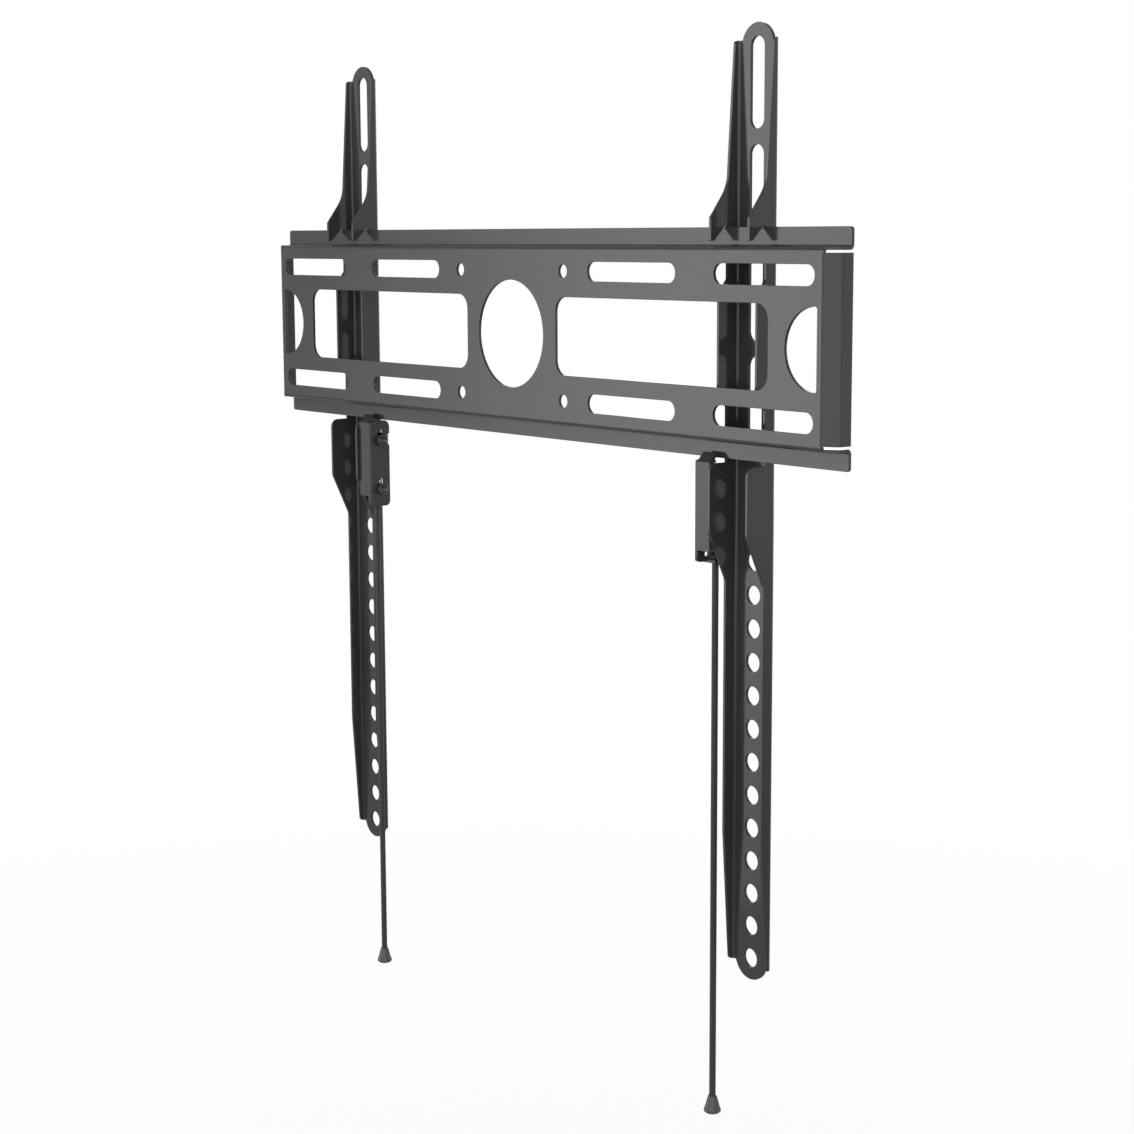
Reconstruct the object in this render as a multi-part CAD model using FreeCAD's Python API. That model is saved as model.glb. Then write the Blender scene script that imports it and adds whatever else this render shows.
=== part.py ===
import FreeCAD
import Part
import math
import os

# TV mount, in millimetres. X runs along the wall, +Y away from the wall towards the screen, +Z up.
# The origin is the middle of the wall plate's face that lies on the wall.

# Wall plate: one folded sheet
face_width = 424.0  # flat face, between its end folds
face_height = 83.6  # over the two webs
plate_sheet = 1.5
plate_bend = 0.8  # inside radius of the folds
rail_offset = 9.8  # wall side of the rails, from the wall
rail_rise = 8.0  # rails beyond the webs, at the top and the bottom
rail_corner = 1.5
end_spread = 6.4  # how far each end slopes outwards
end_slope_depth = 4.5  # how far back that slope goes
end_depth = 10.9  # back edge of the ends, from the wall
corner_slit = 1.05  # between an end and the webs above and below it

# Openings of the wall plate
centre_hole_dia = 51.5
screw_hole_dia = 6.2
screw_spacing = 82.0
hole_row_spacing = 60.3  # upper to lower row of screw holes and slots
wall_slot_length = 61.3
wall_slot_width = 8.8
inner_slot_x = 90.0
outer_slot_x = 176.5
window_x = 107.6
window_length = 144.4
window_height = 36.4
window_corner = 7.0
end_hole_radius = 17.5
end_hole_x = 207.5  # middle of the round side of each D opening
end_hole_flat = 1.3  # its straight side, further out than that
end_hole_corner = 1.2

# Arms: folded U channels that hang on the rails
arm_x = 153.6
arm_width = 25.7
arm_sheet = 1.5
arm_bend = 1.4
tv_offset = 18.9  # screen side of the arms, from the wall
tv_span = 400.0  # top slot's upper end to the lowest hole, middle to middle
top_slot_z = 125.35  # middle of that upper end
tv_hole_dia = 8.4
tv_hole_pitch = 15.0
tv_hole_count = 15
tv_slot_run = 30.0  # between the middles of a slot's round ends
tv_slot_pitch = 45.0
tv_slot_count = 4
flange_past_hole = 2.9  # flanges run this far past the end holes' middles
flange_corner = 1.5

# Side outline of the arms' flanges
edge_offset = 11.5  # free edge at the rails and along the lower arm, from the wall
tip_edge_offset = 15.3  # free edge at the arm's two tips
front_offset = 1.7  # front of the hooks and of the ears
step_offset = 6.6  # front of the step between the rails
step_half = 21.3
step_chamfer = 6.3
seat_gap = 0.1  # hook above the rail's edge
prong_drop = 5.8
prong_tip = 2.0
prong_gap = 0.4  # hook's throat in front of the rail
prong_round = 0.6
hook_height = 3.9  # straight front of the hook above the rail
hook_flare = 13.3  # height of the slope from there to the free edge
hook_corner = 1.0
hook_round = 16.0
ear_gap = 1.8  # under the bottom rail
ear_height = 30.2
ear_slope = 21.5
ear_corner = 4.2
ear_round = 5.0
taper_length = 60.0  # lower end of the arm, where the flanges narrow

# Latches: folded sheets that slide on the arms' inner flanges
latch_gap = 0.4
latch_width = 10.2
latch_sheet = 1.3
latch_bend = 0.2
latch_front = 3.2  # front strip, from the wall
latch_depth = 12.3
latch_height = 44.8
latch_corner = 3.6
side_rise = 1.2  # side plate's top, above the front strip's
foot_corner = 3.0
latch_travel = 4.5
ramp_run = 4.0
ramp_rise = 4.2
ramp_inset = 0.6
strip_rise = 5.7  # front strip's lower end, above the latch's foot
strip_inset = 2.4  # what stays of it below that, from the side plate's face
eye_dia = 2.5
eye_inset = 5.6  # from the latch's back edge
eye_height = 3.3
shelf_drop = 3.1  # spring shelf's underside, below the upper spacer
shelf_reach = 7.4
shelf_tab = 9.0
shelf_gap = 0.5
foot_tab_width = 6.4
foot_tab_reach = 9.0

# Rivets, spacers and springs of the latches
rivet_inset = 5.7  # from the latch's back edge
rivet_drop = 9.4  # upper rivet, under the latch's top
rivet_spacing = 26.0
rivet_shank_dia = 3.2
rivet_head_dia = 6.0
rivet_head = 3.0
rivet_edge = 0.4
rivet_recess_dia = 4.6
rivet_recess_floor_dia = 2.2
rivet_recess = 1.3
rivet_fit = 0.05
spacer_dia = 5.0
slot_fit = 0.25  # shank in the latch's slots
slide_fit = 0.15  # latch between the spacers and the rivet heads
spring_dia = 5.6
spring_wire = 0.7
spring_turns = 9
spring_sides = 5  # facets around the wire
spring_gap = 0.1

# Pull cords
cord_dia = 3.0
cord_hole_gap = 0.25
cord_inset = 4.7  # cord's middle, from the latch's back edge
cord_drop = 246.6  # from the latch's foot to the bead
knot_dia = 5.0
knot_height = 3.4
knot_chamfer = 1.0
bead_height = 8.2
bead_dia = 8.1
bead_neck_dia = 3.9
bead_chamfer = 0.8

# Places that follow from the sizes above
past = 1.0  # how far a cut runs past the surface it goes through
rail_top = face_height / 2 + rail_rise
rail_half = face_width / 2 + end_spread
end_half = face_height / 2 - plate_sheet - corner_slit
web_inner = tv_offset - arm_sheet
tip_radius = arm_width / 2 - arm_sheet - arm_bend
low_hole_z = top_slot_z - tv_span
flange_top = top_slot_z + flange_past_hole
flange_foot = low_hole_z - flange_past_hole
hook_front_top = rail_top + hook_height
ear_top = -rail_top - ear_gap
latch_top = ear_top
latch_foot = latch_top - latch_height
latch_near = arm_width / 2 + latch_gap
latch_far = latch_near + latch_width
latch_back = latch_front + latch_depth
latch_fold = 2 * (latch_sheet + latch_bend)  # room that a fold takes up, with a flat stretch beside it
side_inner = latch_far - latch_sheet
rivet_y = latch_back - rivet_inset
upper_rivet_z = latch_top - rivet_drop
lower_rivet_z = upper_rivet_z - rivet_spacing
spacer_end = side_inner - slide_fit
shelf_under = upper_rivet_z - spacer_dia / 2 - shelf_drop
shelf_near = latch_near + shelf_gap
shelf_far = side_inner - shelf_gap
cord_x = (side_inner + arm_width / 2) / 2
cord_y = latch_back - cord_inset
knot_foot = latch_foot + latch_sheet
bead_top = latch_foot - cord_drop


def vec(x, y, z):
    return FreeCAD.Vector(x, y, z)


# Planes that outlines are drawn in: each turns two drawing coordinates into a point
def plan(level):
    return lambda u, v: vec(u, v, level)


def side(x):
    return lambda u, v: vec(x, u, v)


def front(y):
    return lambda u, v: vec(u, y, v)


def rounded_face(corners, place):
    # A flat face from corners (u, v, radius), each rounded by its own radius
    stops = []
    for index, (u, v, radius) in enumerate(corners):
        here = vec(u, v, 0)
        if radius <= 0:
            stops.append([here])
            continue
        before = corners[index - 1]
        after = corners[(index + 1) % len(corners)]
        back = (vec(before[0], before[1], 0) - here).normalize()
        ahead = (vec(after[0], after[1], 0) - here).normalize()
        half = back.getAngle(ahead) / 2
        setback = radius / math.tan(half)
        crown = here + (back + ahead).normalize() * (radius / math.sin(half) - radius)
        stops.append([here + back * setback, crown, here + ahead * setback])
    stops = [[place(p.x, p.y) for p in stop] for stop in stops]
    edges = []
    for stop, following in zip(stops, stops[1:] + stops[:1]):
        if len(stop) == 3:
            edges.append(Part.Arc(*stop).toShape())
        edges.append(Part.LineSegment(stop[-1], following[0]).toShape())
    return Part.Face(Part.Wire(edges))


def sheet_corners(line, sheet, bend):
    # Section of a folded sheet: line is one side of it, and the sheet lies to the right of the line
    points = [vec(u, v, 0) for u, v in line]
    runs = [(b - a).normalize() for a, b in zip(points, points[1:])]
    near, far = [], []
    for index, point in enumerate(points):
        before = runs[max(index - 1, 0)]
        after = runs[min(index, len(runs) - 1)]
        right = vec(before.y + after.y, -before.x - after.x, 0).normalize()
        other = point + right * (sheet / right.dot(vec(before.y, -before.x, 0)))
        turn = before.cross(after).z
        tight, wide = (bend, bend + sheet) if turn else (0, 0)
        near.append((point.x, point.y, tight if turn > 0 else wide))
        far.append((other.x, other.y, wide if turn > 0 else tight))
    return near + far[::-1]


def rectangle(u0, u1, v0, v1, radius):
    return [(u0, v0, radius), (u1, v0, radius), (u1, v1, radius), (u0, v1, radius)]


def slot_face(start, end, width, place):
    # Round-ended slot between the middles of its two ends
    a = vec(*start, 0)
    b = vec(*end, 0)
    along = (b - a).normalize() * (width / 2)
    across = vec(-along.y, along.x, 0)
    stops = [a + across, a - along, a - across, b - across, b + along, b + across]
    stops = [place(p.x, p.y) for p in stops]
    edges = [
        Part.Arc(*stops[:3]),
        Part.LineSegment(stops[2], stops[3]),
        Part.Arc(*stops[3:]),
        Part.LineSegment(stops[5], stops[0]),
    ]
    return Part.Face(Part.Wire([edge.toShape() for edge in edges]))


def box(x_ends, y_ends, z_ends):
    low, high = zip(sorted(x_ends), sorted(y_ends), sorted(z_ends))
    return Part.makeBox(*[b - a for a, b in zip(low, high)], vec(*low))


def hole(dia, start, length, axis):
    return Part.makeCylinder(dia / 2, length, start, axis)


def plate_end(out):
    # One end of the wall plate: sloped outwards, then straight back. out is -1 or 1.
    line = [
        (rail_half, end_depth),
        (rail_half, end_slope_depth),
        (face_width / 2, 0),
        (face_width / 2 - 2 * (plate_sheet + plate_bend), 0),
    ]
    corners = sheet_corners(line, plate_sheet, plate_bend)
    corners = [(out * u, v, radius) for u, v, radius in corners]
    return rounded_face(corners, plan(-end_half)).extrude(vec(0, 0, 2 * end_half))


def plate_openings():
    start = front(-past)
    through = vec(0, plate_sheet + 2 * past, 0)
    y_axis = vec(0, 1, 0)
    cuts = [hole(centre_hole_dia, start(0, 0), through.y, y_axis)]
    for out in (-1, 1):
        ends = sorted(out * (window_x + half * window_length / 2) for half in (-1, 1))
        window = rectangle(*ends, -window_height / 2, window_height / 2, window_corner)
        cuts.append(rounded_face(window, start).extrude(through))
        disc = hole(2 * end_hole_radius, start(out * end_hole_x, 0), through.y, y_axis)
        flat = end_hole_x + end_hole_flat
        ends = sorted((out * flat, out * (flat - 2 * end_hole_radius)))
        kept = rectangle(*ends, -end_hole_radius, end_hole_radius, end_hole_corner)
        cuts.append(disc.common(rounded_face(kept, start).extrude(through)))
        for z in (-hole_row_spacing / 2, hole_row_spacing / 2):
            cuts.append(hole(screw_hole_dia, start(out * screw_spacing / 2, z), through.y, y_axis))
            for x in (inner_slot_x, outer_slot_x):
                run = (wall_slot_length - wall_slot_width) / 2
                slot = slot_face((out * x - run, z), (out * x + run, z), wall_slot_width, start)
                cuts.append(slot.extrude(through))
    return cuts


def wall_plate():
    line = [
        (rail_offset, -rail_top),
        (rail_offset, -face_height / 2),
        (0, -face_height / 2),
        (0, face_height / 2),
        (rail_offset, face_height / 2),
        (rail_offset, rail_top),
    ]
    section = sheet_corners(line, plate_sheet, plate_bend)
    plate = rounded_face(section, side(-rail_half)).extrude(vec(2 * rail_half, 0, 0))
    depth = (-past, rail_offset + end_depth)
    for out in (-1, 1):
        # The webs' ends follow the slope of the end between them
        fold = out * face_width / 2
        beyond = out * (rail_half + past)
        slope = [
            (fold, 0, 0),
            (out * rail_half, end_slope_depth, 0),
            (beyond, end_slope_depth, 0),
            (beyond, -past, 0),
            (fold, -past, 0),
        ]
        plate = plate.cut(rounded_face(slope, plan(-rail_top)).extrude(vec(0, 0, 2 * rail_top)))
        end = plate_end(out)
        inner = min(abs(end.BoundBox.XMin), abs(end.BoundBox.XMax))
        plate = plate.cut(box((out * inner, beyond), depth, (-end_half, end_half)))
        for z in (-end_half - corner_slit, end_half):
            plate = plate.cut(box((fold, beyond), depth, (z, z + corner_slit)))
        plate = plate.fuse(end)
    outline = rectangle(-rail_half, rail_half, -rail_top, rail_top, rail_corner)
    plate = plate.common(rounded_face(outline, front(0)).extrude(vec(0, depth[1], 0)))
    return plate.cut(plate_openings()).removeSplitter()


# An arm and its latch are drawn at X 0, with the latch's side of the arm towards +X
def flange_outline():
    return [
        (tip_edge_offset, flange_top, flange_corner),
        (edge_offset, hook_front_top + hook_flare, hook_round),
        (front_offset, hook_front_top, hook_corner),
        (front_offset, rail_top - prong_drop, prong_round),
        (front_offset + prong_tip, rail_top - prong_drop, prong_round),
        (rail_offset - prong_gap, rail_top + seat_gap, 0),
        (edge_offset, rail_top + seat_gap, 0),
        (edge_offset, step_half + step_chamfer, 0),
        (step_offset, step_half, 0),
        (step_offset, -step_half, 0),
        (edge_offset, -step_half - step_chamfer, 0),
        (edge_offset, ear_top, 0),
        (front_offset, ear_top, ear_corner),
        (front_offset, ear_top - ear_height, ear_round),
        (edge_offset, ear_top - ear_height - ear_slope, ear_round),
        (edge_offset, flange_foot + taper_length, 0),
        (tip_edge_offset, flange_foot, flange_corner),
        (tv_offset + past, flange_foot, 0),
        (tv_offset + past, flange_top, 0),
    ]


def arm():
    half = arm_width / 2
    line = [(-half, 0), (-half, tv_offset), (half, tv_offset), (half, 0)]
    section = sheet_corners(line, arm_sheet, arm_bend)
    channel = rounded_face(section, plan(flange_foot)).extrude(vec(0, 0, flange_top - flange_foot))
    channel = channel.common(rounded_face(flange_outline(), side(-half)).extrude(vec(arm_width, 0, 0)))
    web = slot_face((0, low_hole_z), (0, top_slot_z), 2 * tip_radius, front(web_inner))
    channel = channel.fuse(web.extrude(vec(0, arm_sheet, 0)))
    start = front(web_inner - past)
    through = vec(0, arm_sheet + 2 * past, 0)
    cuts = []
    for index in range(tv_slot_count):
        upper = top_slot_z - index * tv_slot_pitch
        slot = slot_face((0, upper), (0, upper - tv_slot_run), tv_hole_dia, start)
        cuts.append(slot.extrude(through))
    for index in range(tv_hole_count):
        middle = start(0, low_hole_z + index * tv_hole_pitch)
        cuts.append(hole(tv_hole_dia, middle, through.y, vec(0, 1, 0)))
    for z in (upper_rivet_z, lower_rivet_z):
        inside = vec(half - arm_sheet - past, rivet_y, z)
        cuts.append(hole(rivet_shank_dia + 2 * rivet_fit, inside, arm_sheet + 2 * past, vec(1, 0, 0)))
    return channel.cut(cuts).removeSplitter()


def latch_ramp():
    # Top of the front strip, folded back and up to snap in front of the bottom rail
    line = [
        (latch_front, latch_top - latch_fold),
        (latch_front, latch_top),
        (latch_front + ramp_run, latch_top + ramp_rise),
    ]
    ramp = rounded_face(sheet_corners(line, latch_sheet, latch_bend), side(latch_near))
    return ramp.extrude(vec(side_inner - ramp_inset - latch_near, 0, 0))


def latch_shelf():
    # Tab folded from the side plate's back edge, and folded forwards again over the spring
    low = shelf_under + latch_fold
    line = [(shelf_near, latch_back), (latch_far, latch_back), (latch_far, latch_back - latch_fold)]
    tab = rounded_face(sheet_corners(line, latch_sheet, latch_bend), plan(low))
    tab = tab.extrude(vec(0, 0, shelf_tab - latch_fold))
    line = [(latch_back, low), (latch_back, shelf_under), (latch_back - shelf_reach, shelf_under)]
    shelf = rounded_face(sheet_corners(line, latch_sheet, latch_bend), side(shelf_near))
    return tab.fuse(shelf.extrude(vec(shelf_far - shelf_near, 0, 0)))


def latch_foot_tab():
    # Tab folded in under the knot, which it carries
    line = [
        (latch_far, latch_foot + latch_fold),
        (latch_far, latch_foot),
        (latch_far - foot_tab_reach, latch_foot),
    ]
    tab = rounded_face(sheet_corners(line, latch_sheet, latch_bend), front(cord_y - foot_tab_width / 2))
    return tab.extrude(vec(0, foot_tab_width, 0))


def latch():
    line = [(latch_far, latch_back), (latch_far, latch_front), (latch_near, latch_front)]
    angle = rounded_face(sheet_corners(line, latch_sheet, latch_bend), plan(latch_foot))
    outline = [
        (latch_front, latch_top, 0),
        (latch_front + ramp_run, latch_top + side_rise, 0),
        (latch_back, latch_top + side_rise, latch_corner),
        (latch_back, latch_foot, foot_corner),
        (latch_front, latch_foot, foot_corner),
    ]
    sheet = angle.extrude(vec(0, 0, latch_height + side_rise))
    sheet = sheet.common(rounded_face(outline, side(latch_near)).extrude(vec(latch_width, 0, 0)))
    strip = (latch_front - past, latch_front + latch_sheet)
    strip_near = latch_near - past
    plate = (side_inner, latch_far + past)
    tab = (cord_y - foot_tab_width / 2, cord_y + foot_tab_width / 2)
    shelf = (latch_back - latch_fold, latch_back + past)
    cuts = [
        box((strip_near, latch_far - strip_inset), strip, (latch_foot - past, latch_foot + strip_rise)),
        box((strip_near, side_inner - ramp_inset), strip, (latch_top - latch_fold, latch_top + past)),
        box(plate, tab, (latch_foot - past, latch_foot + latch_fold)),
        box(plate, shelf, (shelf_under + latch_fold, shelf_under + shelf_tab)),
    ]
    sheet = sheet.cut(cuts).fuse([latch_ramp(), latch_shelf(), latch_foot_tab()])
    through = latch_sheet + 2 * past
    start = side_inner - past
    x_axis = vec(1, 0, 0)
    cuts = [
        hole(eye_dia, vec(start, latch_back - eye_inset, latch_foot + eye_height), through, x_axis),
        hole(cord_dia + 2 * cord_hole_gap, vec(cord_x, cord_y, latch_foot - past), through, vec(0, 0, 1)),
    ]
    for z in (upper_rivet_z, lower_rivet_z):
        width = rivet_shank_dia + 2 * slot_fit
        slot = slot_face((rivet_y, z), (rivet_y, z + latch_travel), width, side(start))
        cuts.append(slot.extrude(x_axis * through))
    return sheet.cut(cuts).removeSplitter()


def turned_across(corners, z):
    # Turned piece on a rivet's line: corners are (x, radius, rounding)
    face = rounded_face(corners, lambda x, r: vec(x, rivet_y + r, z))
    return face.revolve(vec(0, rivet_y, z), vec(1, 0, 0), 360)


def turned_upright(corners):
    # Turned piece on the cord's line: corners are (radius, z, rounding)
    face = rounded_face(corners, lambda r, z: vec(cord_x + r, cord_y, z))
    return face.revolve(vec(cord_x, cord_y, 0), vec(0, 0, 1), 360)


def rivet(z):
    tail = arm_width / 2 - arm_sheet
    under_head = latch_far + slide_fit
    end = under_head + rivet_head
    corners = [
        (tail, 0, 0),
        (tail, rivet_shank_dia / 2, 0),
        (under_head, rivet_shank_dia / 2, 0),
        (under_head, rivet_head_dia / 2, 0),
        (end - rivet_edge, rivet_head_dia / 2, 0),
        (end, rivet_head_dia / 2 - rivet_edge, 0),
        (end, rivet_recess_dia / 2, 0),
        (end - rivet_recess, rivet_recess_floor_dia / 2, 0),
        (end - rivet_recess, 0, 0),
    ]
    return turned_across(corners, z)


def spacer(z):
    bore = rivet_shank_dia / 2 + rivet_fit
    return turned_across(rectangle(arm_width / 2, spacer_end, bore, spacer_dia / 2, 0), z)


def latch_spring():
    # Compression coil between the lower spacer and the latch's shelf
    foot = lower_rivet_z + spacer_dia / 2 + spring_gap + spring_wire / 2
    height = shelf_under - spring_gap - spring_wire / 2 - foot
    radius = (spring_dia - spring_wire) / 2
    helix = Part.makeHelix(height / spring_turns, height, radius)
    turns = [2 * math.pi * side_index / spring_sides for side_index in range(spring_sides + 1)]
    spokes = [vec(math.cos(turn), 0, math.sin(turn)) * (spring_wire / 2) for turn in turns]
    wire = Part.makePolygon([vec(radius, 0, 0) + spoke for spoke in spokes])
    coil = Part.Wire(helix).makePipeShell([wire], True, True)
    coil.translate(vec((shelf_near + shelf_far) / 2, rivet_y, foot))
    return coil


def cord_knot():
    knot_top = knot_foot + knot_height
    return turned_upright(
        [
            (0, knot_foot, 0),
            (knot_dia / 2 - knot_chamfer, knot_foot, 0),
            (knot_dia / 2, knot_foot + knot_chamfer, 0),
            (knot_dia / 2, knot_top - knot_chamfer, 0),
            (knot_dia / 2 - knot_chamfer, knot_top, 0),
            (0, knot_top, 0),
        ]
    )


def pull_cord():
    return Part.makeCylinder(cord_dia / 2, knot_foot - bead_top, vec(cord_x, cord_y, bead_top))


def pull_bead():
    bead_foot = bead_top - bead_height
    return turned_upright(
        [
            (0, bead_top, 0),
            (bead_neck_dia / 2, bead_top, 0),
            (bead_dia / 2, bead_foot + bead_chamfer, 0),
            (bead_dia / 2 - bead_chamfer, bead_foot, 0),
            (0, bead_foot, 0),
        ]
    )


# The left side's pieces, and the right side's as their mirror image
pieces = {
    "arm": arm(),
    "latch": latch(),
    "upper_rivet": rivet(upper_rivet_z),
    "lower_rivet": rivet(lower_rivet_z),
    "upper_spacer": spacer(upper_rivet_z),
    "lower_spacer": spacer(lower_rivet_z),
    "latch_spring": latch_spring(),
    "cord_knot": cord_knot(),
    "pull_cord": pull_cord(),
    "pull_bead": pull_bead(),
}
os.makedirs("parts", exist_ok=True)
wall_plate().exportStep("parts/wall_plate.step")
for name, shape in pieces.items():
    left = shape.translated(vec(-arm_x, 0, 0))
    left.exportStep(f"parts/left_{name}.step")
    left.mirror(vec(0, 0, 0), vec(1, 0, 0)).exportStep(f"parts/right_{name}.step")
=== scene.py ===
import bmesh
import bpy
import math
from mathutils import Matrix, Vector


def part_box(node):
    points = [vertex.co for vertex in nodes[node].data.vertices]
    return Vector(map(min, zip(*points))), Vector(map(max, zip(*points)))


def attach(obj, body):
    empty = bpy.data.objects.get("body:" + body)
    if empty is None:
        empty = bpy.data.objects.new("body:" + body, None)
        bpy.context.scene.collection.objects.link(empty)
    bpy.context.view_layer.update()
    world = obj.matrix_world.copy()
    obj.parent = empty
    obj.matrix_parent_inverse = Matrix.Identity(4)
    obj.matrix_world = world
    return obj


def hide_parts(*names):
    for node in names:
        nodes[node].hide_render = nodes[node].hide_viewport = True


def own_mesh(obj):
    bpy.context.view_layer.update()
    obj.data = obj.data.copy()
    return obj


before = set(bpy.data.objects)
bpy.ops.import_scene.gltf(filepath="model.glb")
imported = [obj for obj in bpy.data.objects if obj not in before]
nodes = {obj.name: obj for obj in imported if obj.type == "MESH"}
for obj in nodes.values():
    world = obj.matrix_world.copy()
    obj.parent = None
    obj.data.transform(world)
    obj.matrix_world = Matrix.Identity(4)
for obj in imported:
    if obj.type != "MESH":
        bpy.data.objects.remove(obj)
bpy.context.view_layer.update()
mm = 0.001
weld = 0.001 * mm  # points of a made form that are this near become one
sides = ("left", "right")
print("frame loaded:", len(nodes), "nodes")


def hexColor(text):
    channels = [int(text[i:i + 2], 16) / 255 for i in (1, 3, 5)]
    linear = [c / 12.92 if c <= 0.04045 else ((c + 0.055) / 1.055) ** 2.4 for c in channels]
    return (*linear, 1.0)


def addNode(tree, kind, inputs=None, **settings):
    node = tree.nodes.new(kind)
    for name, value in settings.items():
        setattr(node, name, value)
    for socket, value in (inputs or {}).items():
        if isinstance(value, bpy.types.NodeSocket):
            tree.links.new(value, node.inputs[socket])
        else:
            node.inputs[socket].default_value = value
    return node


def newMaterial(name):
    material = bpy.data.materials.new(name)
    material.use_nodes = True
    tree = material.node_tree
    tree.nodes.clear()
    return material, tree


# Powder coat on folded steel, cured to a satin skin: an even dark grey with clear, slightly soft reflections
coat = {
    "tones": ("#39393a", "#3d3d3e"),
    "spread": (0.3, 0.7),  # pattern values where the first tone ends and the second begins
    "patch": 38 * mm,  # size of the faint differences in coat thickness
    "peel": 1.6 * mm,  # orange peel, drawn about twice as coarse as the real one so that it shows
    "peelDepth": 0.008 * mm,
    "roughLow": 0.11,
    "roughHigh": 0.15,
    "ior": 1.4,
    "latchIor": 1.33,  # the latches' thinner coat shines less
}


def powderCoatedSteel(name, ior):
    material, tree = newMaterial(name)
    spot = addNode(tree, "ShaderNodeTexCoord").outputs["Object"]
    patch = addNode(tree, "ShaderNodeTexNoise", {"Vector": spot, "Scale": 1 / coat["patch"], "Detail": 3.0})
    color = addNode(tree, "ShaderNodeValToRGB", {"Fac": patch.outputs[0]})
    for stop, place, tone in zip(color.color_ramp.elements, coat["spread"], coat["tones"]):
        stop.position = place
        stop.color = hexColor(tone)
    rough = addNode(
        tree,
        "ShaderNodeMapRange",
        {"Value": patch.outputs[0], "To Min": coat["roughLow"], "To Max": coat["roughHigh"]},
    )
    peel = addNode(tree, "ShaderNodeTexNoise", {"Vector": spot, "Scale": 1 / coat["peel"], "Detail": 1.0})
    bump = addNode(
        tree, "ShaderNodeBump", {"Height": peel.outputs[0], "Distance": coat["peelDepth"], "Strength": 1.0}
    )
    shader = addNode(
        tree,
        "ShaderNodeBsdfPrincipled",
        {
            "Base Color": color.outputs[0],
            "Roughness": rough.outputs[0],
            "Normal": bump.outputs[0],
            "IOR": ior,
        },
    )
    addNode(tree, "ShaderNodeOutputMaterial", {"Surface": shader.outputs[0]})
    return material


# Black lacquer on turned steel: glossier than the powder coat
lacquer = {
    "tones": ("#313132", "#3b3b3c"),
    "spread": (0.35, 0.65),
    "grain": 0.5 * mm,
    "grainDepth": 0.004 * mm,
    "roughLow": 0.12,
    "roughHigh": 0.22,
    "ior": 1.6,
}


def blackLacqueredSteel():
    material, tree = newMaterial("black_lacquered_steel")
    spot = addNode(tree, "ShaderNodeTexCoord").outputs["Object"]
    grain = addNode(
        tree, "ShaderNodeTexNoise", {"Vector": spot, "Scale": 1 / lacquer["grain"], "Detail": 2.0}
    )
    color = addNode(tree, "ShaderNodeValToRGB", {"Fac": grain.outputs[0]})
    for stop, place, tone in zip(color.color_ramp.elements, lacquer["spread"], lacquer["tones"]):
        stop.position = place
        stop.color = hexColor(tone)
    rough = addNode(
        tree,
        "ShaderNodeMapRange",
        {"Value": grain.outputs[0], "To Min": lacquer["roughLow"], "To Max": lacquer["roughHigh"]},
    )
    bump = addNode(
        tree,
        "ShaderNodeBump",
        {"Height": grain.outputs[0], "Distance": lacquer["grainDepth"], "Strength": 1.0},
    )
    shader = addNode(
        tree,
        "ShaderNodeBsdfPrincipled",
        {
            "Base Color": color.outputs[0],
            "Roughness": rough.outputs[0],
            "Normal": bump.outputs[0],
            "IOR": lacquer["ior"],
        },
    )
    addNode(tree, "ShaderNodeOutputMaterial", {"Surface": shader.outputs[0]})
    return material


# Drawn spring wire, bare and lightly oiled: bright metal with fine draw marks
wire = {
    "tones": ("#8a8a8c", "#a6a6a8"),
    "spread": (0.35, 0.65),
    "mark": 0.25 * mm,
    "roughLow": 0.16,
    "roughHigh": 0.3,
}


def drawnSpringWire():
    material, tree = newMaterial("drawn_spring_wire")
    spot = addNode(tree, "ShaderNodeTexCoord").outputs["Object"]
    mark = addNode(tree, "ShaderNodeTexNoise", {"Vector": spot, "Scale": 1 / wire["mark"], "Detail": 2.0})
    color = addNode(tree, "ShaderNodeValToRGB", {"Fac": mark.outputs[0]})
    for stop, place, tone in zip(color.color_ramp.elements, wire["spread"], wire["tones"]):
        stop.position = place
        stop.color = hexColor(tone)
    rough = addNode(
        tree,
        "ShaderNodeMapRange",
        {"Value": mark.outputs[0], "To Min": wire["roughLow"], "To Max": wire["roughHigh"]},
    )
    shader = addNode(
        tree,
        "ShaderNodeBsdfPrincipled",
        {"Base Color": color.outputs[0], "Roughness": rough.outputs[0], "Metallic": 1.0},
    )
    addNode(tree, "ShaderNodeOutputMaterial", {"Surface": shader.outputs[0]})
    return material


# Braided polyester cord: dull dark grey strands that cross round the cord, with painted shade in the hollows
# between them
braid = {
    # the darker tone is painted shade in the low parts between the strands
    "tones": ("#1c1c1d", "#333334"),
    "spread": (0.2, 1.0),
    "strand": 1.5 * mm,  # along the cord, from one crossing to the next
    "carriers": 6,  # strands each way round
    "depth": 0.09 * mm,
    "relief": 0.7,  # share of that depth that the light shows
    "rough": 0.62,
    "fuzz": 0.15,
    "fuzzRough": 0.5,
}


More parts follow.
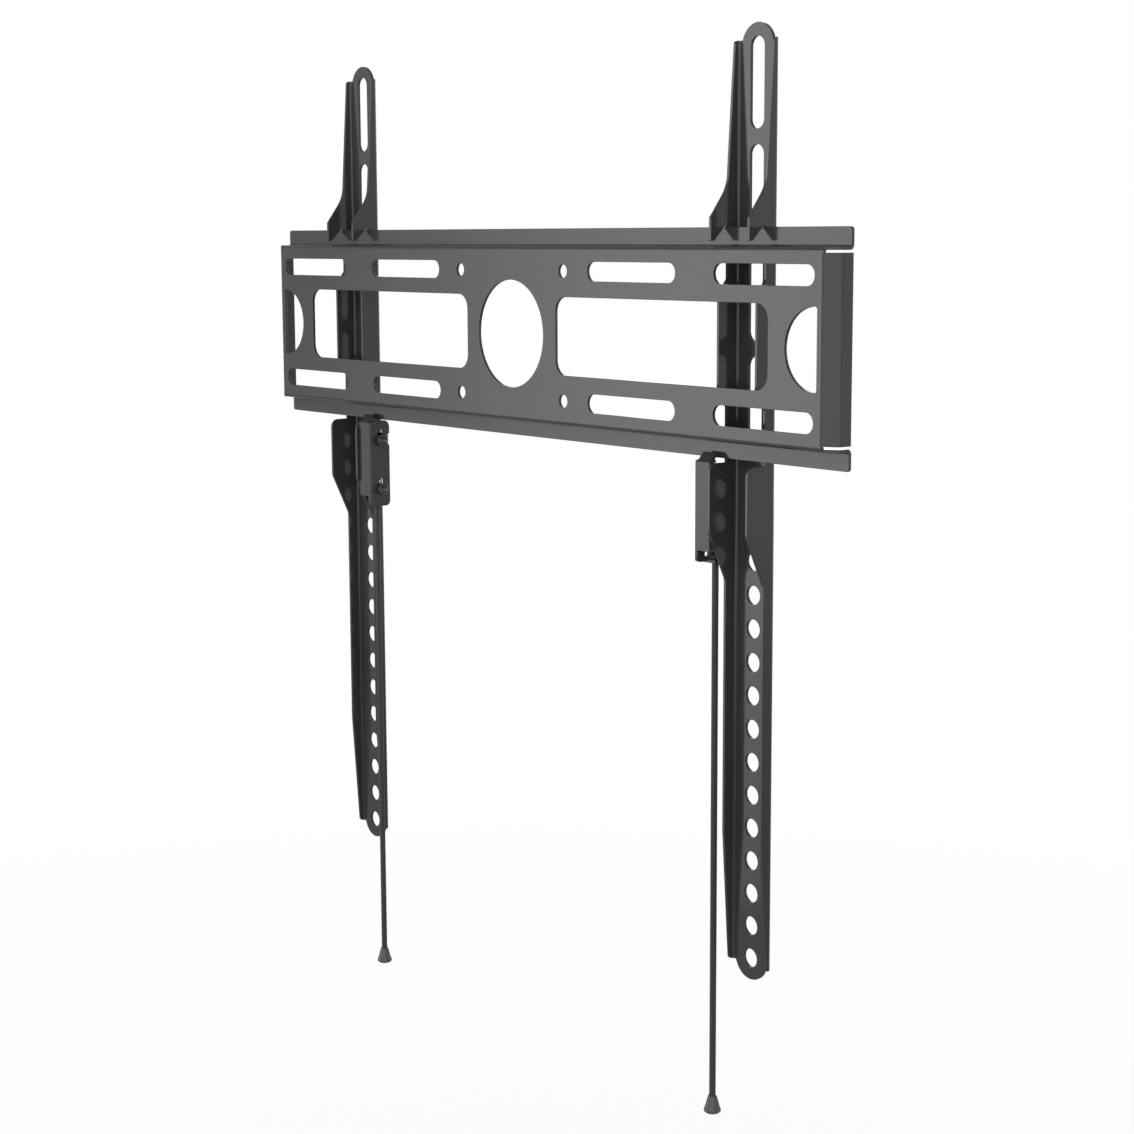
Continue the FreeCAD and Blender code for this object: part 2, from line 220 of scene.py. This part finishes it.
def braidedCord(axis):
    material, tree = newMaterial("braided_polyester")
    spot = addNode(tree, "ShaderNodeTexCoord").outputs["Object"]
    apart = addNode(tree, "ShaderNodeSeparateXYZ", {"Vector": spot})
    # Both cords share one pattern, centred on each cord's own line
    across = addNode(tree, "ShaderNodeMath", {0: apart.outputs["X"]}, operation="ABSOLUTE")
    across = addNode(tree, "ShaderNodeMath", {0: across.outputs[0], 1: axis.x}, operation="SUBTRACT")
    behind = addNode(tree, "ShaderNodeMath", {0: apart.outputs["Y"], 1: axis.y}, operation="SUBTRACT")
    turn = addNode(
        tree, "ShaderNodeMath", {0: behind.outputs[0], 1: across.outputs[0]}, operation="ARCTAN2"
    )
    turn = addNode(tree, "ShaderNodeMath", {0: turn.outputs[0], 1: braid["carriers"]}, operation="MULTIPLY")
    rise = addNode(
        tree,
        "ShaderNodeMath",
        {0: apart.outputs["Z"], 1: 2 * math.pi / braid["strand"]},
        operation="MULTIPLY",
    )
    waves = []
    for way in ("ADD", "SUBTRACT"):
        phase = addNode(tree, "ShaderNodeMath", {0: rise.outputs[0], 1: turn.outputs[0]}, operation=way)
        waves.append(addNode(tree, "ShaderNodeMath", {0: phase.outputs[0]}, operation="SINE"))
    strands = addNode(
        tree, "ShaderNodeMath", {0: waves[0].outputs[0], 1: waves[1].outputs[0]}, operation="MAXIMUM"
    )
    height = addNode(
        tree, "ShaderNodeMapRange", {"Value": strands.outputs[0], "From Min": -1.0, "From Max": 1.0}
    )
    # The ramp darkens the low parts between the strands: painted shade in the braid's hollows, while the
    # bump below gives the relief
    color = addNode(tree, "ShaderNodeValToRGB", {"Fac": height.outputs[0]})
    for stop, place, tone in zip(color.color_ramp.elements, braid["spread"], braid["tones"]):
        stop.position = place
        stop.color = hexColor(tone)
    bump = addNode(
        tree,
        "ShaderNodeBump",
        {"Height": height.outputs[0], "Distance": braid["depth"], "Strength": braid["relief"]},
    )
    shader = addNode(
        tree,
        "ShaderNodeBsdfPrincipled",
        {
            "Base Color": color.outputs[0],
            "Roughness": braid["rough"],
            "Normal": bump.outputs[0],
            "Sheen Weight": braid["fuzz"],
            "Sheen Roughness": braid["fuzzRough"],
        },
    )
    addNode(tree, "ShaderNodeOutputMaterial", {"Surface": shader.outputs[0]})
    return material


# Moulded ABS: a smooth dark grey skin with the mould's faint spark texture
plastic = {
    "tones": ("#383839", "#404041"),
    "spread": (0.3, 0.7),
    "spark": 0.45 * mm,
    "sparkDepth": 0.006 * mm,
    "roughLow": 0.12,
    "roughHigh": 0.18,
    "ior": 1.53,
}


def mouldedAbs():
    material, tree = newMaterial("moulded_abs")
    spot = addNode(tree, "ShaderNodeTexCoord").outputs["Object"]
    spark = addNode(
        tree, "ShaderNodeTexNoise", {"Vector": spot, "Scale": 1 / plastic["spark"], "Detail": 2.0}
    )
    color = addNode(tree, "ShaderNodeValToRGB", {"Fac": spark.outputs[0]})
    for stop, place, tone in zip(color.color_ramp.elements, plastic["spread"], plastic["tones"]):
        stop.position = place
        stop.color = hexColor(tone)
    rough = addNode(
        tree,
        "ShaderNodeMapRange",
        {"Value": spark.outputs[0], "To Min": plastic["roughLow"], "To Max": plastic["roughHigh"]},
    )
    bump = addNode(
        tree,
        "ShaderNodeBump",
        {"Height": spark.outputs[0], "Distance": plastic["sparkDepth"], "Strength": 1.0},
    )
    shader = addNode(
        tree,
        "ShaderNodeBsdfPrincipled",
        {
            "Base Color": color.outputs[0],
            "Roughness": rough.outputs[0],
            "Normal": bump.outputs[0],
            "IOR": plastic["ior"],
        },
    )
    addNode(tree, "ShaderNodeOutputMaterial", {"Surface": shader.outputs[0]})
    return material


def paint(piece, material):
    piece.data.materials.clear()
    piece.data.materials.append(material)


def middle(node):
    low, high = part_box(node)
    return (Vector(low) + Vector(high)) / 2


steel = powderCoatedSteel("powder_coated_steel", coat["ior"])
latchSteel = powderCoatedSteel("thinly_coated_steel", coat["latchIor"])
rivetSteel = blackLacqueredSteel()
springWire = drawnSpringWire()
polyester = braidedCord(middle("right_pull_cord"))
beadPlastic = mouldedAbs()
print("materials made")


def addPiece(name, data, material, body):
    piece = bpy.data.objects.new(name, data)
    bpy.context.scene.collection.objects.link(piece)
    paint(piece, material)
    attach(piece, body)
    return piece


def meshOf(name, shape):
    mesh = bpy.data.meshes.new(name)
    shape.to_mesh(mesh)
    shape.free()
    mesh.shade_smooth()
    return mesh


def softenEdges(piece, width, steps, sharp, limit="ANGLE"):
    soft = piece.modifiers.new("soft_edges", "BEVEL")
    soft.width = width
    soft.segments = steps
    soft.limit_method = limit
    soft.angle_limit = math.radians(sharp)
    soft.use_clamp_overlap = False
    soft.loop_slide = False
    flat = piece.modifiers.new("flat_faces", "WEIGHTED_NORMAL")
    flat.weight = 100  # large faces alone set the shading
    flat.keep_sharp = True


# Folded sheets: the solids' own forms, with the edges that the coat rounds off
sheets = {
    "rounds": {  # how far the coat rounds off each sheet's edges; the latches' small folds stay sharp
        "wall_plate": 0.2 * mm,
        "left_arm": 0.2 * mm,
        "right_arm": 0.2 * mm,
        "left_latch": 0.0,
        "right_latch": 0.0,
    },
    "merge": 0.002 * mm,
    "flat": 0.05,  # degrees: facets this near to one plane join
    "sharp": 32.0,  # degrees: edges sharper than this are rounded
    "steps": 2,
    "slitFrom": 0.2115,  # m from the middle, where the wall plate's corner slits begin
    "slitHeights": (0.0385, 0.041),  # m above or below the middle
}


def inSlit(spot):
    low, high = sheets["slitHeights"]
    return abs(spot.x) > sheets["slitFrom"] and low < abs(spot.z) < high


def addSheets():
    for name, width in sheets["rounds"].items():
        shape = bmesh.new()
        shape.from_mesh(nodes[name].data)
        bmesh.ops.remove_doubles(shape, verts=shape.verts, dist=sheets["merge"])
        bmesh.ops.dissolve_limit(
            shape, angle_limit=math.radians(sheets["flat"]), verts=shape.verts, edges=shape.edges
        )
        rounded = shape.edges.layers.float.new("bevel_weight_edge")
        for edge in shape.edges:
            if edge.calc_face_angle(0.0) < math.radians(sheets["sharp"]):
                continue
            # The slits' corners are too tight to round
            if width and not any(inSlit(vert.co) for vert in edge.verts):
                edge[rounded] = 1.0
            else:
                edge.smooth = False
        finish = latchSteel if name.endswith("_latch") else steel
        piece = addPiece(f"{name}_sheet", meshOf(name, shape), finish, name)
        softenEdges(piece, width, sheets["steps"], sheets["sharp"], "WEIGHT")
        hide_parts(name)


addSheets()
print("sheets softened")


def turned(profile, foot, axis, steps):
    # Turned form: profile holds (along, radius) from foot, in mm
    shape = bmesh.new()
    across = axis.orthogonal().normalized()
    spots = [foot + axis * (along * mm) + across * (radius * mm) for along, radius in profile]
    points = [shape.verts.new(spot) for spot in spots]
    edges = [shape.edges.new(pair) for pair in zip(points, points[1:])]
    bmesh.ops.spin(
        shape, geom=points + edges, cent=foot, axis=axis, angle=2 * math.pi, steps=steps, use_merge=True
    )
    bmesh.ops.remove_doubles(shape, verts=shape.verts, dist=weld)
    bmesh.ops.recalc_face_normals(shape, faces=shape.faces)
    return shape


# Rivets: a plain shank and a high head, dished by the setting tool
rivetForm = {
    "headHeight": 3.0,
    "headRadius": 3.0,
    "shankRadius": 1.6,
    "dishRadius": 2.3,
    "dishFloorRadius": 1.1,
    "dishDepth": 1.3,
    "skin": 0.2,  # the arm's coat over the tail
    "skinSharp": 30.0,  # degrees
    "round": 0.25 * mm,
    "roundSteps": 2,
    "sharp": 25.0,  # degrees: edges sharper than this are rounded
    "steps": 48,
}


def addRivets():
    shank, skin = rivetForm["shankRadius"], rivetForm["skin"]
    for side in sides:
        body = f"{side}_arm"
        inward = Vector((1 if side == "left" else -1, 0, 0))
        for level in ("upper", "lower"):
            node = f"{side}_{level}_rivet"
            low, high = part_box(node)
            length = (high[0] - low[0]) / mm
            foot = middle(node)
            foot.x = low[0] if side == "left" else high[0]
            head = length - rivetForm["headHeight"]
            dishFloor = length - rivetForm["dishDepth"]
            profile = [
                (skin, 0),
                (skin, shank),
                (head, shank),
                (head, rivetForm["headRadius"]),
                (length, rivetForm["headRadius"]),
                (length, rivetForm["dishRadius"]),
                (dishFloor, rivetForm["dishFloorRadius"]),
                (dishFloor, 0),
            ]
            shape = turned(profile, foot, inward, rivetForm["steps"])
            piece = addPiece(f"{node}_turned", meshOf(node, shape), rivetSteel, body)
            softenEdges(piece, rivetForm["round"], rivetForm["roundSteps"], rivetForm["sharp"])
            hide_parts(node)
            profile = [(0, 0), (0, shank), (skin, shank), (skin, 0)]
            cover = meshOf(f"{node}_skin", turned(profile, foot, inward, rivetForm["steps"]))
            cover.set_sharp_from_angle(angle=math.radians(rivetForm["skinSharp"]))
            addPiece(f"{node}_skin", cover, steel, body)
            paint(nodes[f"{side}_{level}_spacer"], rivetSteel)


addRivets()
print("rivets set")

# Springs: round wire, a closed turn at each end
springForm = {
    "wireRadius": 0.35,
    "openTurns": 8,
    "closedPitch": 1.04,  # rise of a closed turn, in wire thicknesses
    "stepsPerTurn": 28,
    "wireSides": 10,
    "keep": 0.745,  # share of its length that is left when the latch is down
}


def addSprings():
    steps = springForm["stepsPerTurn"]
    radius = springForm["wireRadius"] * mm
    closed = 2 * radius * springForm["closedPitch"]
    for side in sides:
        node = f"{side}_latch_spring"
        low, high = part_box(node)
        line = middle(node)
        coil = (high[0] - low[0]) / 2 - radius
        run = high[2] - low[2] - 2 * radius
        opened = (run - 2 * closed) / springForm["openTurns"]
        shape = bmesh.new()
        upright = Matrix.Rotation(math.pi / 2, 4, "X")
        start = Matrix.Translation((line.x + coil, line.y, low[2] + radius)) @ upright
        ring = bmesh.ops.create_circle(shape, segments=springForm["wireSides"], radius=radius, matrix=start)
        last = ring["verts"] + list({edge for vert in ring["verts"] for edge in vert.link_edges})
        for turns, pitch in ((1, closed), (springForm["openTurns"], opened), (1, closed)):
            made = bmesh.ops.spin(
                shape,
                geom=last,
                cent=line,
                axis=(0, 0, 1),
                dvec=(0, 0, pitch / steps),
                angle=2 * math.pi * turns,
                steps=steps * turns,
            )
            last = made["geom_last"]
        bmesh.ops.remove_doubles(shape, verts=shape.verts, dist=weld)
        ends = [edge for edge in shape.edges if edge.is_boundary]
        bmesh.ops.holes_fill(shape, edges=ends, sides=springForm["wireSides"])
        bmesh.ops.recalc_face_normals(shape, faces=shape.faces)
        piece = addPiece(f"{node}_coil", meshOf(node, shape), springWire, f"{side}_arm")
        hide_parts(node)
        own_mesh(piece)


addSprings()
print("springs wound")

# Pull cords: limp braid that hangs straight from the latch's foot
cordForm = {
    "radius": 1.5,
    "top": -95.1,
    "foot": -343.0,
    "steady": 18.0,  # below the top, where the cord is past the latch's edge
    "roundness": 5,
}


def addCord(side, line):
    data = bpy.data.curves.new(f"{side}_pull_cord", "CURVE")
    data.dimensions = "3D"
    data.bevel_depth = cordForm["radius"] * mm
    data.bevel_resolution = cordForm["roundness"]
    data.use_fill_caps = True
    route = [cordForm["top"], cordForm["top"] - cordForm["steady"], cordForm["foot"]]
    spline = data.splines.new("NURBS")
    spline.points.add(len(route) - 1)
    for point, z in zip(spline.points, route):
        point.co = (line.x, line.y, z * mm, 1.0)
    spline.order_u = 3
    spline.use_endpoint_u = True
    piece = addPiece(f"{side}_pull_cord_braid", data, polyester, f"{side}_latch")
    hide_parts(f"{side}_pull_cord")
    return piece


# Stops: the cord's thick upper end, which the latch's foot tab holds
stopForm = {
    "radius": 2.5,
    "crown": 1.3,
    "footInset": 0.5,
    "footHeight": 0.6,
    "round": 0.3 * mm,
    "roundSteps": 3,
    "sharp": 25.0,  # degrees
    "steps": 40,
}


def addStop(side, line):
    node = f"{side}_cord_knot"
    low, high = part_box(node)
    tall = (high[2] - low[2]) / mm
    wide, crown = stopForm["radius"], stopForm["crown"]
    profile = [
        (0, 0),
        (0, wide - stopForm["footInset"]),
        (stopForm["footHeight"], wide),
        (tall - crown, wide),
        (tall, wide - crown),
        (tall, 0),
    ]
    shape = turned(profile, Vector((line.x, line.y, low[2])), Vector((0, 0, 1)), stopForm["steps"])
    piece = addPiece(f"{side}_cord_stop", meshOf(node, shape), polyester, f"{side}_latch")
    softenEdges(piece, stopForm["round"], stopForm["roundSteps"], stopForm["sharp"])
    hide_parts(node)
    return piece


# Beads: cones for the fingers at the cords' lower ends
beadForm = {
    "neckRadius": 1.95,
    "waistRadius": 3.05,  # half way up
    "footRadius": 4.05,
    "rimHeight": 0.9,
    "round": 0.3 * mm,
    "roundSteps": 3,
    "sharp": 20.0,  # degrees
    "steps": 56,
}


def addBead(side, line):
    node = f"{side}_pull_bead"
    low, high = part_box(node)
    tall = (high[2] - low[2]) / mm
    profile = [
        (0, 0),
        (0, beadForm["footRadius"] - beadForm["rimHeight"]),
        (beadForm["rimHeight"], beadForm["footRadius"]),
        (tall / 2, beadForm["waistRadius"]),
        (tall, beadForm["neckRadius"]),
        (tall, 0),
    ]
    shape = turned(profile, Vector((line.x, line.y, low[2])), Vector((0, 0, 1)), beadForm["steps"])
    piece = addPiece(f"{node}_moulded", meshOf(node, shape), beadPlastic, f"{side}_latch")
    softenEdges(piece, beadForm["round"], beadForm["roundSteps"], beadForm["sharp"])
    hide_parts(node)
    return piece


for side in sides:
    line = middle(f"{side}_pull_cord")
    cord = addCord(side, line)
    stop = addStop(side, line)
    bead = addBead(side, line)
print("cords hung")

# Camera at the photograph's angle
photoCamera = {
    "place": (856.52, -634.72, 46.84),  # mm
    "turn": 52.022,  # degrees to the left
    "down": 8.549,
    "roll": -0.253,
    "focal": 2210.3,  # pixels
    "frame": 1134,  # pixels across
}


def addCamera():
    data = bpy.data.cameras.new("photo_camera")
    data.sensor_width = 36.0
    data.lens = data.sensor_width * photoCamera["focal"] / photoCamera["frame"]
    data.clip_start = 0.05
    data.clip_end = 50.0
    camera = bpy.data.objects.new("photo_camera", data)
    bpy.context.scene.collection.objects.link(camera)
    turn = Matrix.Rotation(math.radians(photoCamera["turn"]), 4, "Z")
    tilt = Matrix.Rotation(math.radians(90 - photoCamera["down"]), 4, "X")
    roll = Matrix.Rotation(math.radians(photoCamera["roll"]), 4, "Z")
    place = Matrix.Translation(Vector(photoCamera["place"]) * mm)
    camera.matrix_world = place @ turn @ tilt @ roll
    bpy.context.scene.camera = camera


addCamera()
print("camera placed")

# Studio: white surroundings under a grey ceiling, a pale floor far below and soft boxes
studio = {
    "white": "#ffffff",
    "floorLevel": -0.62,  # m
    "floorSize": 12.0,
    "floorColor": "#a8a8a8",
    "floorWhite": 0.93,  # how much of the floor's look is plain white, under the part
    "floorFade": 1.6,  # m from the middle, where it is all white
    "mirrorWhite": 0.02,  # the same for what the steel mirrors, and where its fade begins and ends
    "mirrorFrom": 1.8,
    "mirrorFade": 4.5,
    "skyLight": 0.7,
    "ceiling": 0.3,  # the white falls to this overhead, in what the steel mirrors
    "ceilingFrom": 0.15,  # sine of the height where the fall begins, and where it ends
    "ceilingTo": 0.55,
    "dimLeft": 0.65,  # and the mirrored white falls to this far out on the left
    "dimLeftFrom": -0.8,
    "dimLeftTo": -0.88,
}


def showsWhite(tree):
    # 1 for rays that carry the background to the eye, straight or by a reflection
    path = addNode(tree, "ShaderNodeLightPath")
    seen = addNode(
        tree,
        "ShaderNodeMath",
        {0: path.outputs["Is Camera Ray"], 1: path.outputs["Is Glossy Ray"]},
        operation="MAXIMUM",
    )
    return addNode(
        tree,
        "ShaderNodeMath",
        {0: seen.outputs[0], 1: path.outputs["Is Transmission Ray"]},
        operation="MAXIMUM",
    ).outputs[0]


def addWorld():
    world = bpy.data.worlds.new("white_studio")
    world.use_nodes = True
    tree = world.node_tree
    tree.nodes.clear()
    way = addNode(tree, "ShaderNodeTexCoord").outputs["Generated"]
    way = addNode(tree, "ShaderNodeSeparateXYZ", {"Vector": way})
    upward = addNode(
        tree,
        "ShaderNodeMapRange",
        {
            "Value": way.outputs["Z"],
            "From Min": studio["ceilingFrom"],
            "From Max": studio["ceilingTo"],
            "To Min": 1.0,
            "To Max": studio["ceiling"],
        },
    )
    leftward = addNode(
        tree,
        "ShaderNodeMapRange",
        {
            "Value": way.outputs["X"],
            "From Min": studio["dimLeftFrom"],
            "From Max": studio["dimLeftTo"],
            "To Min": 1.0,
            "To Max": studio["dimLeft"],
        },
    )
    mirrored = addNode(
        tree, "ShaderNodeMath", {0: upward.outputs[0], 1: leftward.outputs[0]}, operation="MULTIPLY"
    )
    path = addNode(tree, "ShaderNodeLightPath")
    seen = addNode(
        tree,
        "ShaderNodeMapRange",
        {"Value": path.outputs["Is Camera Ray"], "To Min": mirrored.outputs[0], "To Max": 1.0},
    )
    strength = addNode(
        tree,
        "ShaderNodeMapRange",
        {"Value": showsWhite(tree), "To Min": studio["skyLight"], "To Max": seen.outputs[0]},
    )
    sky = addNode(
        tree,
        "ShaderNodeBackground",
        {"Color": hexColor(studio["white"]), "Strength": strength.outputs[0]},
    )
    addNode(tree, "ShaderNodeOutputWorld", {"Surface": sky.outputs[0]})
    bpy.context.scene.world = world


def addFloor():
    material, tree = newMaterial("pale_floor")
    spot = addNode(tree, "ShaderNodeTexCoord").outputs["Object"]
    away = addNode(tree, "ShaderNodeVectorMath", {0: spot}, operation="LENGTH")
    seen = addNode(
        tree,
        "ShaderNodeMapRange",
        {
            "Value": away.outputs["Value"],
            "From Min": -studio["floorLevel"],  # the floor's nearest point, straight below the middle
            "From Max": studio["floorFade"],
            "To Min": studio["floorWhite"],
            "To Max": 1.0,
        },
    )
    mirrored = addNode(
        tree,
        "ShaderNodeMapRange",
        {
            "Value": away.outputs["Value"],
            "From Min": studio["mirrorFrom"],
            "From Max": studio["mirrorFade"],
            "To Min": studio["mirrorWhite"],
            "To Max": 1.0,
        },
    )
    path = addNode(tree, "ShaderNodeLightPath")
    white = addNode(
        tree,
        "ShaderNodeMapRange",
        {"Value": path.outputs["Is Glossy Ray"], "To Min": seen.outputs[0], "To Max": mirrored.outputs[0]},
    )
    share = addNode(tree, "ShaderNodeMath", {0: showsWhite(tree), 1: white.outputs[0]}, operation="MULTIPLY")
    matt = addNode(tree, "ShaderNodeBsdfDiffuse", {"Color": hexColor(studio["floorColor"])})
    glow = addNode(tree, "ShaderNodeEmission", {"Color": hexColor(studio["white"]), "Strength": 1.0})
    shader = addNode(
        tree, "ShaderNodeMixShader", {0: share.outputs[0], 1: matt.outputs[0], 2: glow.outputs[0]}
    )
    addNode(tree, "ShaderNodeOutputMaterial", {"Surface": shader.outputs[0]})
    floor = bmesh.new()
    place = Matrix.Translation((0, 0, studio["floorLevel"]))
    bmesh.ops.create_grid(floor, x_segments=1, y_segments=1, size=studio["floorSize"] / 2, matrix=place)
    piece = bpy.data.objects.new("studio_floor", meshOf("studio_floor", floor))
    bpy.context.scene.collection.objects.link(piece)
    paint(piece, material)


# Soft boxes: places in m, and how much of a box's light is left at its dim side and at its foot
softBoxes = {
    "front_box": {
        "place": (-0.697, -0.645, -0.05),
        "aim": (0.013, -0.015, -0.05),
        "size": (0.64, 1.06),
        "watts": 5.4,
        "dimSide": 0.0,
        "dimFoot": 0.35,
    },
    "fill_box": {
        "place": (1.08, -1.29, 0.42),
        "aim": (0.0, 0.0, 0.0),
        "size": (2.9, 1.9),
        "watts": 13.0,
        "dimSide": 1.0,
        "dimFoot": 1.0,
    },
    "back_box": {
        "place": (-0.8, 1.7, 0.4),
        "aim": (0.0, 0.0, -0.05),
        "size": (1.7, 1.5),
        "watts": 11.0,
        "dimSide": 1.0,
        "dimFoot": 1.0,
    },
}
dimWidth = 0.7  # share of a box's width where the light grows from its dim side
dimHeight = 0.45  # share of its height where the light grows from its foot


def addBoxes():
    for name, box in softBoxes.items():
        data = bpy.data.lights.new(name, "AREA")
        data.shape = "RECTANGLE"
        data.size, data.size_y = box["size"]
        data.energy = box["watts"]
        data.use_nodes = True
        tree = data.node_tree
        tree.nodes.clear()
        spot = addNode(tree, "ShaderNodeNewGeometry").outputs["Parametric"]
        apart = addNode(tree, "ShaderNodeSeparateXYZ", {"Vector": spot})
        across = addNode(
            tree,
            "ShaderNodeMapRange",
            {"Value": apart.outputs["X"], "From Max": dimWidth, "To Min": box["dimSide"]},
            interpolation_type="SMOOTHSTEP",
        )
        upward = addNode(
            tree,
            "ShaderNodeMapRange",
            {"Value": apart.outputs["Y"], "From Max": dimHeight, "To Min": box["dimFoot"]},
        )
        share = addNode(
            tree, "ShaderNodeMath", {0: across.outputs[0], 1: upward.outputs[0]}, operation="MULTIPLY"
        )
        glow = addNode(tree, "ShaderNodeEmission", {"Strength": share.outputs[0]})
        addNode(tree, "ShaderNodeOutputLight", {"Surface": glow.outputs[0]})
        lamp = bpy.data.objects.new(name, data)
        bpy.context.scene.collection.objects.link(lamp)
        lamp.location = box["place"]
        aim = Vector(box["aim"]) - Vector(box["place"])
        lamp.rotation_euler = aim.to_track_quat("-Z", "Y").to_euler()


addWorld()
addFloor()
addBoxes()
bpy.context.scene.view_settings.view_transform = "Standard"
print("studio lit")
